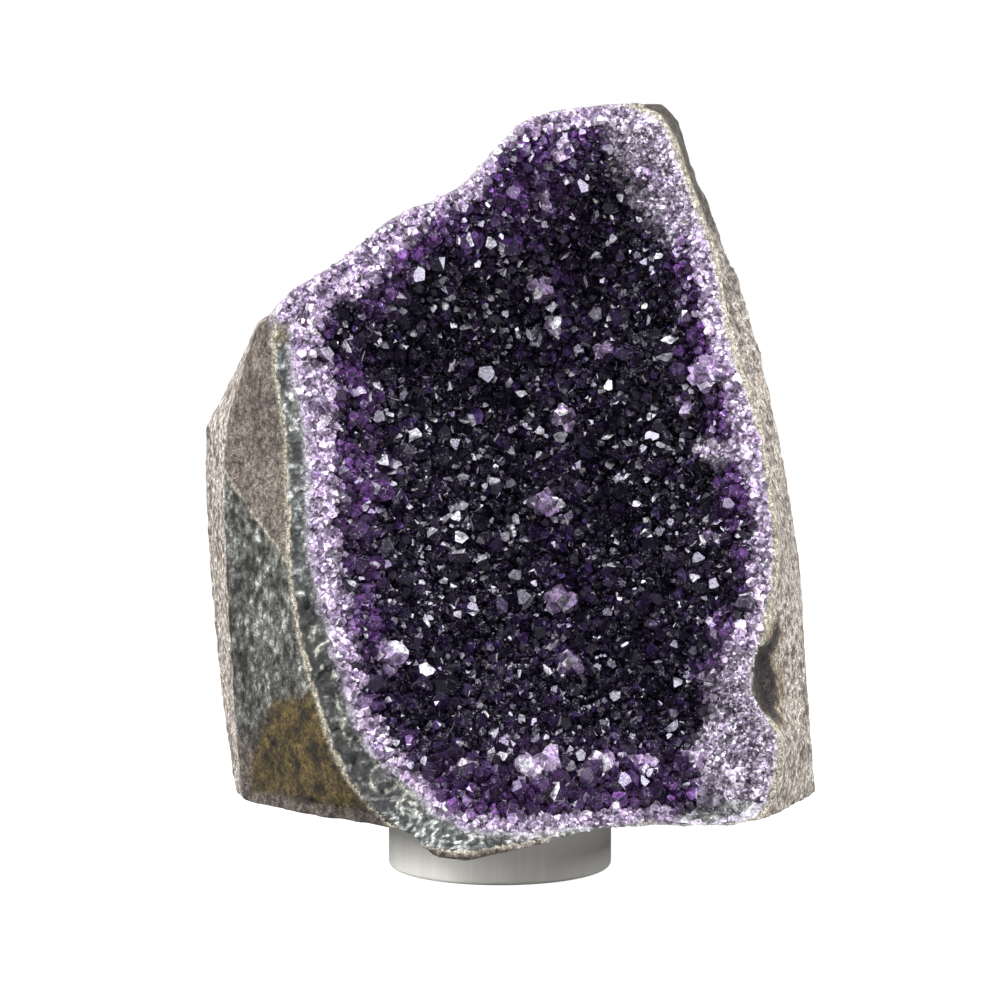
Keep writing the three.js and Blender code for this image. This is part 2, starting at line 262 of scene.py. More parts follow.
def crystal_material(name, roughness):
    """Painted tint, clouded inside, with pale veins where the tint's alpha allows them; the veins
    are partly inclusions and partly painted inner reflections and glints.
    """
    material, nodes, links, shader = new_material(name, roughness)
    shader.inputs["IOR"].default_value = QUARTZ_IOR
    shader.inputs["Specular Tint"].default_value = (0.84, 0.8, 1, 1)
    mapping = tinted(nodes, links, shader, (520, 1700), 0.3, 1.7)
    clouded = shader.inputs["Base Color"].links[0].from_socket
    tint = add_node(nodes, "ShaderNodeAttribute", attribute_name="tint")
    vein_glints = add_node(nodes, "ShaderNodeTexNoise", Scale=1250, Detail=5, Roughness=0.75)
    vein_glints.inputs["Distortion"].default_value = 1.2
    links.new(mapping.outputs["Vector"], vein_glints.inputs["Vector"])
    sharp = add_node(nodes, "ShaderNodeMapRange")
    sharp.inputs["From Min"].default_value = VEIN_GLINT_LOW
    sharp.inputs["From Max"].default_value = VEIN_GLINT_HIGH
    links.new(vein_glints.outputs["Fac"], sharp.inputs["Value"])
    amount = add_node(nodes, "ShaderNodeMath", operation="MULTIPLY")
    links.new(sharp.outputs["Result"], amount.inputs[0])
    links.new(tint.outputs["Alpha"], amount.inputs[1])
    vein_glinted = add_node(nodes, "ShaderNodeMix", data_type="RGBA")
    links.new(amount.outputs["Value"], vein_glinted.inputs["Factor"])
    links.new(clouded, vein_glinted.inputs["A"])
    vein_glinted.inputs["B"].default_value = (*VEIN_GLINT_COLOUR, 1)
    colour = next(out for out in vein_glinted.outputs if out.type == "RGBA")
    links.new(colour, shader.inputs["Base Color"])
    bumped(nodes, links, shader, mapping, 1400, 0.0002, 0.3)
    return material


def stand_material():
    material, nodes, links, shader = new_material("stand", 0.5)
    tinted(nodes, links, shader, (500,), 0.96, 1.04, stretch=(1, 1, 0.03))
    return material


BASALT = rock_material()
AGATE = agate_material()
PALE_QUARTZ = quartz_material()
CRYSTAL = crystal_material("amethyst", 0.07)
BRIGHT_CRYSTAL = crystal_material("bright_amethyst", 0.15)
STAND = stand_material()


# ------------------------------------------------------------------ the stone's surface

LAYERS = ("host_rock", "agate_band", "quartz_layer")


def whole_shell():
    """Rock, agate and quartz as one solid surface of even small faces."""
    joined = bmesh.new()
    for node in LAYERS:
        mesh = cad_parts[node].data.copy()
        bare = bmesh.new()
        bare.from_mesh(mesh)
        bmesh.ops.remove_doubles(bare, verts=bare.verts, dist=1e-6)
        bare.normal_update()
        for vertex in bare.verts:
            vertex.co += vertex.normal * OVERLAP
        bare.to_mesh(mesh)
        bare.free()
        joined.from_mesh(mesh)
        bpy.data.meshes.remove(mesh)
    rough = bpy.data.meshes.new("shell")
    joined.to_mesh(rough)
    joined.free()
    holder = bpy.data.objects.new("shell", rough)
    bpy.context.scene.collection.objects.link(holder)
    remesh = holder.modifiers.new("remesh", "REMESH")
    remesh.mode = "VOXEL"
    remesh.voxel_size = VOXEL
    graph = bpy.context.evaluated_depsgraph_get()
    shell = bpy.data.meshes.new_from_object(holder.evaluated_get(graph))
    bpy.data.objects.remove(holder)
    bpy.data.meshes.remove(rough)
    return shell


TREES = {node: tree_of(node) for node in LAYERS}
shell = whole_shell()
shell_gaps = [distances(TREES[node], coordinates(shell)) for node in LAYERS]
nearest_layer = np.argmin(shell_gaps, axis=0)
face_layer = np.array([
    np.bincount(nearest_layer[list(face.vertices)], minlength=3).argmax()
    for face in shell.polygons
])
rock_mesh = sub_mesh(shell, face_layer == 0, "rock")
agate_mesh = sub_mesh(shell, face_layer == 1, "agate")
quartz_mesh = sub_mesh(shell, face_layer == 2, "quartz")

ROCK_LOW, ROCK_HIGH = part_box("host_rock")
DRUSE_LOW, DRUSE_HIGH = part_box("amethyst_druse")
DRUSE_WIDTH = DRUSE_HIGH.x - DRUSE_LOW.x
DRUSE_HEIGHT = DRUSE_HIGH.z - DRUSE_LOW.z
BASE_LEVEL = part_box("display_stand")[1].z   # top of the stand, just under the sawn base


def across(share):
    """x at a share of the druse's width."""
    return DRUSE_LOW.x + share * (DRUSE_HIGH.x - DRUSE_LOW.x)


def up(share):
    """z at a share of the druse's height."""
    return DRUSE_LOW.z + share * (DRUSE_HIGH.z - DRUSE_LOW.z)


def spot(points, x_share, z_share, half_width, half_height):
    """1 at a place of the face, falling softly to 0 around it."""
    dx = (points[:, 0] - across(x_share)) / half_width
    dz = (points[:, 2] - up(z_share)) / half_height
    return np.exp(-(dx * dx + dz * dz))


# ----------------------------------------------------------------------- the host rock

BASALT_DARK = srgb(68, 61, 56)
BASALT_MID = srgb(128, 117, 109)
BASALT_LIGHT = srgb(172, 161, 151)
SAWN_BEIGE = srgb(200, 189, 180)
SAWN_PALE = srgb(232, 223, 214)
SAWN_GREY = srgb(124, 114, 107)
CELADONITE_DARK = srgb(42, 42, 40)
CELADONITE_MID = srgb(104, 104, 99)
CELADONITE_PALE = srgb(188, 190, 186)
OLIVE_DARK = srgb(34, 28, 18)
OLIVE_LIGHT = srgb(106, 89, 50)
# painted shade inside the chip broken out of the right edge
NOTCH_SHADE = srgb(62, 57, 58)
NOTCH_RUST = srgb(150, 128, 98)
TOP_GREY = srgb(104, 99, 94)
RUST_BROWN = srgb(138, 112, 88)
CREAM = srgb(218, 210, 190)
BLEACHED = srgb(206, 196, 212)


OLIVE_CENTRE = 21.5 * MM    # the olive patch: from the stone's left edge to its middle
OLIVE_WIDTH = 11 * MM       # from there to its rounded left side
OLIVE_FOOT = 0.03           # share of the height where its rounded part begins
OLIVE_HEIGHT = 20 * MM      # from there to its top


def flank_of_left_facet(points):
    """How far a point lies behind the crease of the left front facet, in metres."""
    return points[:, 1] - (ROCK_HIGH.y - 37 * MM)


def upper_left_rim(points):
    """1 where crystals grow right over the edge of the stone, at its upper left."""
    high = smooth(up(0.69), up(0.73), points[:, 2])
    return high * (1 - smooth(across(0.66), across(0.72), points[:, 0]))


def sawn_colours(points, coarse):
    """Beige sawn faces, with fine upright streaks."""
    streaks = layered(points * np.array([1, 1, 0.3]), 1.2 * MM, 5, 3)
    grain = layered(points, 0.9 * MM, 6, 2)
    beige = mix(SAWN_GREY, SAWN_BEIGE, smooth(-0.4, 0.15, 0.5 * streaks + grain))
    return mix(beige, SAWN_PALE, smooth(-0.1, 0.45, 0.4 * streaks + grain + 0.4 * coarse) * 0.8)


def left_facet_colours(points, colours, coarse, fine):
    """Basalt above, fibrous celadonite below it, olive velvet along the rim at the foot."""
    x, z = points[:, 0], points[:, 2]
    from_edge = x - ROCK_LOW.x
    ragged = coarse * 2.5 * MM + fine * 1.2 * MM
    diagonal = up(0.5) - (from_edge - 3 * MM) * 1.25 + ragged * 0.4
    below = smooth(-0.6 * MM, 0.6 * MM, diagonal - z)
    slant = np.array([[1, 0, 0.5], [0, 1, 0], [-0.35, 0, 0.6]])
    fibres = layered(points @ slant, 1.2 * MM, 8, 3) + 0.45 * coarse
    celadonite = mix(CELADONITE_DARK, CELADONITE_MID, smooth(-0.4, 0.1, fibres))
    celadonite = mix(celadonite, CELADONITE_PALE, smooth(0.08, 0.5, fibres) * 0.85)
    colours = mix(colours, celadonite, below)
    seam = np.exp(-((diagonal - z) / (0.55 * MM)) ** 2)
    colours = mix(colours, CREAM, seam * smooth(-0.4, 0.3, fine) * 0.7)

    brown = mix(BASALT_DARK, BASALT_MID, smooth(-0.6, 0.6, fine + 0.4 * coarse))
    low = smooth(-3 * MM, 3 * MM, up(0.09) + ragged - z)
    colours = mix(colours, brown, low * below)

    beside = np.minimum(from_edge - OLIVE_CENTRE, 0) / OLIVE_WIDTH
    above = np.maximum(z - up(OLIVE_FOOT), 0) / OLIVE_HEIGHT
    rounded = 1 - np.sqrt(beside ** 2 + above ** 2) + ragged / OLIVE_WIDTH * 0.6
    in_olive = smooth(-0.05, 0.1, rounded)
    in_olive = in_olive * smooth(-0.8 * MM, 1.2 * MM, z - ROCK_LOW.z - 6.5 * MM + ragged * 0.5)
    velvet = layered(points * np.array([1, 1, 0.7]), 2.4 * MM, 11) + 0.5 * fine
    olive = mix(OLIVE_DARK, OLIVE_LIGHT, smooth(-0.5, 0.45, velvet))
    return mix(colours, olive, in_olive)


CHIP_SIZE = (6 * MM, 11 * MM, 9.5 * MM)     # half of its width, depth and height
CHIP_SETBACK = 22 * MM                      # its middle, behind the front of the druse
CHIP_DENT = 1.8                             # in millimetres


def notch_depth(points):
    """Above 0 in the chip broken out of the right edge of the face, below 0 around it."""
    along = (points[:, 0] - across(0.97)) / CHIP_SIZE[0]
    behind_rim = (points[:, 1] - DRUSE_LOW.y - CHIP_SETBACK) / CHIP_SIZE[1]
    height = (points[:, 2] - up(0.19)) / CHIP_SIZE[2]
    ragged = 1.1 * layered(points, 5 * MM, 35, 4)
    return 1 - np.sqrt(along ** 2 + behind_rim ** 2 + np.abs(height) ** 3) + ragged


def rock_colours(points, normals):
    x, y, z = points.T
    coarse = layered(points, 9 * MM, 1)
    fine = layered(points, 1.3 * MM, 2)
    colours = mix(BASALT_DARK, BASALT_MID, smooth(-0.9, 0.3, 0.6 * coarse + fine))
    colours = mix(colours, BASALT_LIGHT, smooth(0.0, 0.8, fine + 0.3 * coarse) * 0.6)

    left_flank = smooth(-0.4 * MM, 0.6 * MM, flank_of_left_facet(points)) * (x < 0)
    right_flank = smooth(0.25, 0.6, normals[:, 0]) * (x > 0)
    behind = smooth(ROCK_HIGH.y - 16 * MM, ROCK_HIGH.y - 8 * MM, y)
    flanks = np.maximum(left_flank, right_flank) * (1 - behind)
    colours = mix(colours, sawn_colours(points, coarse), flanks)
    weathered = smooth(up(0.68), up(0.9), z + coarse * 22 * MM) * (1 - behind)
    grey = mix(TOP_GREY * 0.6, TOP_GREY * 1.3, smooth(-0.4, 0.5, fine))
    colours = mix(colours, grey, weathered)
    green = mix(CELADONITE_DARK, CELADONITE_MID, smooth(-0.5, 0.5, fine))
    green_skin = smooth(0.05, 0.4, layered(points, 24 * MM, 13, 3)) * behind
    colours = mix(colours, green, green_skin * 0.8)
    brown = mix(BASALT_DARK, RUST_BROWN, smooth(-0.6, 0.6, fine))
    brown_skin = smooth(0.1, 0.45, layered(points, 19 * MM, 17, 3)) * behind
    colours = mix(colours, brown, brown_skin * 0.8)

    front_left = 1 - smooth(-0.6 * MM, 0.3 * MM, flank_of_left_facet(points))
    front_left = front_left * (x < across(0.3)) * smooth(0.1, 0.4, -normals[:, 1])
    colours = mix(colours, left_facet_colours(points, colours, coarse, fine), front_left)

    depth = notch_depth(points)
    colours = mix(colours, NOTCH_RUST, smooth(-0.45, -0.05, depth) * 0.75)
    # painted shade: the chip that rock_relief dents in is painted dark
    chip_shade = mix(NOTCH_SHADE * 0.7, NOTCH_SHADE * 1.6, smooth(-0.5, 0.5, fine + 0.5 * coarse))
    colours = mix(colours, chip_shade, smooth(-0.1, 0.1, depth))

    to_rim = distances(TREES["agate_band"], points)
    rim_width = (0.5 + 1.5 * smooth(across(0.66), across(0.76), x)) * MM
    rim = np.exp(-(to_rim / rim_width) ** 2)
    colours = mix(colours, CREAM, rim * 0.75)
    bleached = smooth(3 * MM, 1 * MM, to_rim + fine * MM) * upper_left_rim(points)
    colours = mix(colours, mix(BLEACHED * 0.6, BLEACHED, smooth(-0.3, 0.3, fine)), bleached)
    # painted shade: the rock is darkened in the pits that rock_relief dents in
    pits = smooth(0.36, 0.55, layered(points, 1.7 * MM, 31, 2))
    return colours * (1 - 0.5 * pits[:, None])


def rock_relief(points, normals):
    """Height in metres: pitted and lumpy at the back, nearly flat on the sawn facets."""
    back = smooth(ROCK_HIGH.y - 22 * MM, ROCK_HIGH.y - 6 * MM, points[:, 1])
    lumps = layered(points, 13 * MM, 41, 3) * 2.4 * MM * back
    grain = layered(points, 2.6 * MM, 45, 3) * (0.35 + 0.5 * back) * MM
    pits = smooth(0.36, 0.55, layered(points, 1.7 * MM, 31, 2)) * 0.4 * MM
    chip = smooth(0, 0.7, notch_depth(points)) * CHIP_DENT * MM
    on_base = smooth(0.8, 0.95, -normals[:, 2])
    return (lumps + grain - pits - chip) * (1 - 0.85 * on_base)


def left_front_edges(mesh):
    """Edges of the left front facet, whose grain is the finest."""
    return [
        edge for edge in mesh.edges
        if all(v.normal.y < -0.1 and v.co.x < across(0.35) for v in edge.verts)
    ]


def build_rock():
    refine(rock_mesh, 1, left_front_edges)
    points, normals = coordinates(rock_mesh), vertex_normals(rock_mesh)
    paint(rock_mesh, rock_colours(points, normals))
    set_coordinates(rock_mesh, points + normals * rock_relief(points, normals)[:, None])
    shade_smooth(rock_mesh)
    rock = add_object("basalt_host_rock", rock_mesh, BASALT)
    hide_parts("host_rock")


# ----------------------------------------------------------------------- the agate band

AGATE_DARK = srgb(38, 42, 42)
AGATE_MID = srgb(90, 94, 92)
AGATE_LIGHT = srgb(206, 208, 206)
AGATE_LINE = srgb(204, 206, 192)
AGATE_OLIVE = srgb(112, 98, 74)
AGATE_PALE = srgb(214, 206, 222)
ORB_SPACING = 5.6 * MM      # distance between the round growths of the lower band
ORB_RADIUS = 0.5            # their radius, as a share of that distance


def orb_distances(points):
    """Distance to the nearest of many scattered centres, as a share of their spacing."""
    low, high = points.min(axis=0), points.max(axis=0)
    counts = np.ceil((high - low) / ORB_SPACING).astype(int) + 1
    grid = np.stack(np.meshgrid(*[np.arange(n) for n in counts], indexing="ij"), -1)
    moved = grid.reshape(-1, 3) + rng.uniform(-0.4, 0.4, (counts.prod(), 3))
    centres = low + moved * ORB_SPACING
    tree = KDTree(len(centres))
    for index, centre in enumerate(centres):
        tree.insert(centre, index)
    tree.balance()
    return np.array([tree.find(point)[2] for point in points]) / ORB_SPACING


def build_agate():
    refine(agate_mesh, 2)
    points, normals = coordinates(agate_mesh), vertex_normals(agate_mesh)
    x, z = points[:, 0], points[:, 2]
    outer = distances(TREES["host_rock"], points)
    inner = distances(TREES["quartz_layer"], points)
    lumps = layered(points, 4.5 * MM, 61, 3)
    speckle = layered(points, 1.1 * MM, 64, 3)
    colours = mix(AGATE_DARK, AGATE_MID, smooth(-0.4, 0.2, 0.8 * lumps + speckle))
    colours = mix(colours, AGATE_LIGHT, smooth(0.12, 0.5, speckle + 0.3 * lumps) * 0.9)
    relief = lumps * 0.5 * MM + speckle * 0.25 * MM

    shade = 0.62 * smooth(up(0.0), up(0.05), z) * (1 - smooth(up(0.3), up(0.4), z))
    colours = colours * (1 - shade[:, None])

    orbs = orb_distances(points)
    low = 1 - smooth(up(0.3), up(0.36), z)
    inside = smooth(1 * MM, 2.2 * MM, outer) * smooth(0.6 * MM, 1.6 * MM, inner) * low
    line = np.exp(-((orbs - ORB_RADIUS) / 0.06) ** 2) * inside
    colours = mix(colours, AGATE_LINE, line * smooth(-0.2, 0.3, lumps + speckle))
    relief = relief + np.sqrt(np.clip(ORB_RADIUS - orbs, 0, 1)) * 1.6 * MM * inside

    streaks = layered(points * np.array([0.3, 1, 1]), 0.8 * MM, 68, 3)
    foot = 1 - smooth(up(-0.01), up(0.05), z)
    colours = mix(colours, AGATE_LIGHT, foot * smooth(0.05, 0.35, streaks) * 0.9)
    olive = smooth(up(0.66), up(0.69), z) * (1 - smooth(up(0.72), up(0.75), z))
    colours = mix(colours, AGATE_OLIVE, olive * (1 - smooth(2 * MM, 4 * MM, outer)) * 0.8)

    on_left = 1 - smooth(across(0.02), across(0.14), x)
    cream = smooth(0.95 * MM, 0.35 * MM, outer + speckle * 0.9 * MM) * on_left
    cream = np.maximum(cream, smooth(across(0.66), across(0.76), x))
    colours = mix(colours, CREAM, cream * 0.9)
    pale = smooth(1.8 * MM, 0.2 * MM, inner + speckle * 1.8 * MM + lumps * MM)
    colours = mix(colours, AGATE_PALE, pale * 0.85)
    at_top = upper_left_rim(points)
    colours = mix(colours, mix(BLEACHED * 0.5, BLEACHED, smooth(-0.3, 0.3, speckle)), at_top)
    paint(agate_mesh, colours)
    set_coordinates(agate_mesh, points + normals * relief[:, None])
    shade_smooth(agate_mesh)
    band = add_object("agate_shell", agate_mesh, AGATE)
    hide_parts("agate_band")


# ---------------------------------------------------------------------- quartz and druse

def open_edge_tree(mesh):
    """Tree of the points along a surface's open edge, flattened to the face's plane."""
    edged = bmesh.new()
    edged.from_mesh(mesh)
    rim = [vertex.co.copy() for vertex in edged.verts if vertex.is_boundary]
    edged.free()
    tree = KDTree(len(rim))
    for index, place in enumerate(rim):
        tree.insert((place.x, 0, place.z), index)
    tree.balance()
    return tree


RIM_TREE = open_edge_tree(quartz_mesh)


def edge_distances(points):
    """Distance from the quartz's outer edge, as seen from the front."""
    return np.array([RIM_TREE.find((p[0], 0, p[2]))[2] for p in points])


QUARTZ_WHITE = srgb(224, 216, 234)
QUARTZ_LILAC = srgb(158, 140, 178)
QUARTZ_DARK = srgb(88, 76, 102)
BED_COLOUR = srgb(34, 25, 48)
BED_RISE = 3.2 * MM         # the druse's ground lies this far in front of the quartz


def build_quartz():
    points, normals = coordinates(quartz_mesh), vertex_normals(quartz_mesh)
    speckle = layered(points, 1.3 * MM, 81, 3)
    colours = mix(QUARTZ_LILAC, QUARTZ_WHITE, smooth(-0.3, 0.25, speckle))
    paint(quartz_mesh, mix(QUARTZ_DARK, colours, smooth(-0.5, -0.1, speckle)))
    set_coordinates(quartz_mesh, points + normals * (speckle * 0.5 * MM)[:, None])
    shade_smooth(quartz_mesh)
    layer = add_object("pale_quartz_lining", quartz_mesh, PALE_QUARTZ)
    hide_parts("quartz_layer")


def druse_bed():
    """The ground the crystals grow on, with gentle swells."""
    bed = quartz_mesh.copy()
    points, normals = coordinates(bed), vertex_normals(bed)
    edge = edge_distances(points)
    rise = BED_RISE * smooth(0.3 * MM, 7 * MM, edge)
    swell = layered(points, 16 * MM, 91, 3) * 1.5 * MM * smooth(2 * MM, 9 * MM, edge)
    set_coordinates(bed, points + normals * (rise + swell)[:, None])
    return bed


PALE_WIDTHS = (             # width of the pale rim, by place: x share, z share, width
    (0.0, 0.5, 6.6), (0.05, 0.72, 6), (0.3, 0.93, 2.4), (0.62, 1.0, 2.2), (0.95, 0.8, 3),
    (1.0, 0.5, 3.5), (0.95, 0.2, 5), (0.75, 0.0, 2), (0.45, 0.0, 2), (0.12, 0.15, 3.4),
)


def pale_width(points):
    """Local width of the pale rim, blended from the places around it."""
    total = np.zeros(len(points))
    weights = np.zeros(len(points))
    for x_share, z_share, width in PALE_WIDTHS:
        weight = spot(points, x_share, z_share, 20 * MM, 24 * MM) + 1e-9
        total += weight * width * MM
        weights += weight
    return total / weights


def zones(points):
    """Named masks of the druse: how pale, fine and bright it is, where painted shade darkens it and
    where painted glints light it.
    """
    edge = edge_distances(points)
    wander = layered(points, 7 * MM, 101, 3)
    rim = edge / pale_width(points) + wander * 0.9
    patchy = smooth(-0.35, 0.25, layered(points, 6 * MM, 111, 3))
    masks = {"pale": 1 - smooth(0.5, 1.1, rim), "bright": (1 - smooth(1.1, 2.7, rim)) * patchy}
    crust = spot(points, 0.95, 0.17, 9 * MM, 17 * MM) + spot(points, 0.9, 0.52, 6 * MM, 3 * MM)
    crust += 0.9 * spot(points, 0.93, 0.05, 11 * MM, 9 * MM)
    crust += (0.9 * spot(points, 0.72, 0.97, 9 * MM, 12 * MM)
              + 0.7 * spot(points, 0.8, 0.86, 7 * MM, 12 * MM))
    masks["crust"] = smooth(0.45, 0.85, crust + wander * 0.5)
    bottom = 1 - smooth(up(0.035), up(0.12), points[:, 2] + wander * 6 * MM)
    masks["bottom"] = bottom
    masks["bright"] = np.maximum(masks["bright"], 0.3 * bottom)
    line = np.exp(-((points[:, 0] - across(0.55)) / (4 * MM)) ** 2)
    height = points[:, 2]
    line *= smooth(up(0.15), up(0.25), height) * (1 - smooth(up(0.75), up(0.85), height))
    top = spot(points, 0.45, 0.95, 12 * MM, 14 * MM)
    masks["bright"] = np.maximum(masks["bright"], 0.7 * top * patchy)
    masks["violet"] = np.clip(0.45 * line + top + 0.5 * smooth(0.25, 0.6, wander), 0, 1)
    # painted shade: crystals under the overhanging upper rim, at the top middle and down the right,
    # are tinted towards black
    masks["dark"] = np.clip(
        spot(points, 0.55, 0.8, 14 * MM, 9 * MM) + spot(points, 0.78, 0.5, 13 * MM, 28 * MM), 0, 1)
    # painted glints: a zone left of the middle where more faces are painted near-white and more
    # veined, partly painted reflections; crystals there are also a little wider
    masks["glint"] = spot(points, 0.36, 0.5, 20 * MM, 34 * MM)
    foot = 1 - smooth(3 * MM, 5 * MM, points[:, 2] - BASE_LEVEL + wander * 3 * MM)
    masks["foot"] = foot * smooth(across(0.74), across(0.84), points[:, 0])
    masks["sawn"] = 1 - smooth(0.5 * MM, 5 * MM, points[:, 2] - BASE_LEVEL)
    return masks


TINT_WHITE = srgb(232, 224, 240)
TINT_LILAC = srgb(206, 184, 216)
TINT_BRIGHT = srgb(106, 68, 130)
TINT_VIOLET = srgb(54, 34, 78)
TINT_DARK = srgb(14, 10, 26)
# near-black: painted shade under the upper rim, and darker crystals at random
TINT_BLACK = srgb(5, 4, 9)
# painted glint: near-white laid onto some crystal faces
TINT_GLINT = srgb(240, 238, 248)
TINT_GREY = srgb(128, 124, 132)
# painted shade of the gaps between the crust's crystals
TINT_GAP_SHADE = srgb(30, 27, 34)
TINT_FOOT = srgb(98, 100, 96)
FOOT_DARK = srgb(52, 55, 53)
FOOT_PALE = srgb(142, 145, 141)

TEMPLATES = 28
PYRAMID_TILT = math.radians(51.8)   # slope of a quartz crystal's end faces


def cut_away(solid, place, normal):
    """Cuts a convex solid with a plane and closes the cut."""
    geometry = [*solid.verts, *solid.edges, *solid.faces]
    bmesh.ops.bisect_plane(
        solid, geom=geometry, plane_co=place, plane_no=normal, clear_outer=True, dist=1e-5)
    bmesh.ops.holes_fill(solid, edges=[edge for edge in solid.edges if edge.is_boundary])


def quartz_template():
    """A quartz point one unit in half-width: six sides, and six unequal end faces."""
    solid = bmesh.new()
    bmesh.ops.create_cube(solid, size=12)
    tip = rng.uniform(1.5, 2.6)
    for side in range(6):
        turn = side * math.pi / 3
        out = Vector((math.cos(turn), math.sin(turn), 0))
        cut_away(solid, out * rng.uniform(0.82, 1.08), out)
        large = side % 2 == 0
        height = tip + (rng.uniform(-0.25, 0.1) if large else rng.uniform(0.0, 0.75))
        slope = Vector((math.cos(turn) * math.sin(PYRAMID_TILT),
                        math.sin(turn) * math.sin(PYRAMID_TILT), math.cos(PYRAMID_TILT)))
        cut_away(solid, Vector((0, 0, height)), slope)
    cut_away(solid, Vector((0, 0, -1.1)), Vector((0, 0, -1)))
    bmesh.ops.recalc_face_normals(solid, faces=solid.faces)
    solid.verts.index_update()
    points = np.array([vertex.co for vertex in solid.verts])
    faces = [[vertex.index for vertex in face.verts] for face in solid.faces]
    solid.free()
    return points, faces


class Crystals:
    """Gathers many crystals, to become one mesh."""

    templates = [quartz_template() for _ in range(TEMPLATES)]

    def __init__(self):
        self.points, self.corners, self.sizes, self.colours = [], [], [], []
        self.count = 0

    def add(self, place, axis, half_width, stretch, tip, root, sparkle, vein_glints):
        """One crystal: its colours run from root to tip, each face is lighter or darker at random
        as painted facet shading, sparkle is the share of faces given a painted glint, and the last
        argument says how much pale veining shows, partly inclusions and partly painted inner
        reflections."""
        points, faces = self.templates[rng.integers(TEMPLATES)]
        side = axis.orthogonal().normalized()
        roll = rng.uniform(0, math.tau)
        first = side * math.cos(roll) + axis.cross(side) * math.sin(roll)
        second = axis.cross(first)
        turn = np.array([first, second, axis])
        scale = np.array([half_width, half_width, half_width * stretch])
        placed = (points * scale) @ turn + np.array(place)
        placed[:, 2] = np.maximum(placed[:, 2], BASE_LEVEL)   # sawn level with the base
        self.points.append(placed)
        rise = np.clip(points[:, 2] / points[:, 2].max(), 0, 1) ** 0.8
        for face in faces:
            draw = rng.random()
            # each face lighter or darker at random: painted facet shading
            light = rng.lognormal(-0.15, 0.5)
            # a share of the faces, set by sparkle, is painted towards near-white: painted glints
            shine = rng.uniform(0.2, 1.0) if draw < sparkle else 0
            colour = mix(root, tip, rise[face]) * light
            colour = mix(colour, TINT_GLINT, np.full(len(face), shine))
            # pale veins: partly inclusions, partly painted inner reflections
            vein_glint = np.full((len(face), 1), vein_glints * rng.uniform(0, 1.6))
            self.colours.append(np.hstack([colour, vein_glint]))
            self.corners.append(np.array(face) + self.count)
            self.sizes.append(len(face))
        self.count += len(points)

    def mesh(self, name):
        mesh = bpy.data.meshes.new(name)
        points = np.concatenate(self.points)
        corners = np.concatenate(self.corners)
        sizes = np.array(self.sizes)
        mesh.vertices.add(len(points))
        mesh.loops.add(len(corners))
        mesh.polygons.add(len(sizes))
        mesh.vertices.foreach_set("co", points.astype(np.float32).ravel())
        mesh.loops.foreach_set("vertex_index", corners)
        starts = np.concatenate([[0], np.cumsum(sizes)[:-1]])
        mesh.polygons.foreach_set("loop_start", starts)
        mesh.polygons.foreach_set("use_smooth", np.zeros(len(sizes), bool))
        mesh.update(calc_edges=True)
        paint(mesh, np.concatenate(self.colours), domain="CORNER")
        return mesh


def scatter_places(bed, wanted):
    """Random places spread evenly over a surface, with its normals."""
    mesh = bed.copy()
    mesh.calc_loop_triangles()
    points = coordinates(mesh)
    corners = np.array([triangle.vertices for triangle in mesh.loop_triangles])
    a, b, c = points[corners[:, 0]], points[corners[:, 1]], points[corners[:, 2]]
    across_faces = np.cross(b - a, c - a)
    area = np.linalg.norm(across_faces, axis=1)
    chosen = rng.choice(len(area), wanted, p=area / area.sum())
    u, v = rng.random(wanted), rng.random(wanted)
    flip = u + v > 1
    u[flip], v[flip] = 1 - u[flip], 1 - v[flip]
    places = a[chosen] + (b - a)[chosen] * u[:, None] + (c - a)[chosen] * v[:, None]
    normals = vertex_normals(mesh)[corners[chosen, 0]]
    bpy.data.meshes.remove(mesh)
    return places, normals


CANDIDATES = 70000
RIM_CANDIDATES = 3000
PACKING = 0.62              # neighbours come this close, as a share of their widths
COLUMNS, ROWS = 3, 4        # the druse is split into this many patches


def thinned(places, widths, taken):
    """Indices of places that keep clear of each other, in the order they come."""
    cell = 2.5 * MM
    grid = {}

    def key(place):
        return tuple((place / cell).astype(int))

    for place, width in taken:
        reach = range(-2, 3)
        for step in ((i, j, k) for i in reach for j in reach for k in reach):
            near = tuple(np.array(key(place)) + step)
            grid.setdefault(near, []).append((place, width))
    kept = []
    steps = [(i, j, k) for i in (-1, 0, 1) for j in (-1, 0, 1) for k in (-1, 0, 1)]
    for index, (place, width) in enumerate(zip(places, widths)):
        home = key(place)
        clear = True
        for i, j, k in steps:
            for other, other_width in grid.get((home[0] + i, home[1] + j, home[2] + k), ()):
                limit = (width + other_width) / 2 * PACKING
                gap = place - other
                if gap @ gap < limit * limit:
                    clear = False
                    break
            if not clear:
                break
        if clear:
            grid.setdefault(home, []).append((place, width))
            kept.append(index)
    return kept


CRYSTAL_WIDTH = 2.1                 # usual width of a point, in millimetres
WIDTH_SPREAD = 0.36
NARROWEST, WIDEST, WIDEST_AT_RIM = 0.7, 4.2, 2.2


def crystal_widths(masks, count):
    width = CRYSTAL_WIDTH + 0.2 * masks["glint"]
    width = width * (1 - 0.32 * masks["pale"])
    width = width * (1 - 0.6 * masks["crust"]) * (1 + 0.35 * masks["bottom"])
    width = width * (1 - 0.5 * masks["sawn"])
    widest = np.where(masks["pale"] > 0.3, WIDEST_AT_RIM, WIDEST)
    return np.clip(width * rng.lognormal(0, WIDTH_SPREAD, count), NARROWEST, widest) * MM


CUT_BASE = BASE_LEVEL + 3.5 * MM    # crystals below this do not lean down
CRYSTAL_LEAN = 0.33


def leaning(place, normal, amount):
    """The normal, tipped at random by about amount radians; never down at the cut base."""
    axis = normal + rng.normal(0, amount, 3)
    if place[2] < CUT_BASE:
        axis[2] = abs(axis[2])
    return Vector(axis).normalized()


def varied(amount, spread):
    """A share near amount, from 0 to 1."""
    return np.clip(amount + rng.normal(0, spread), 0, 1)


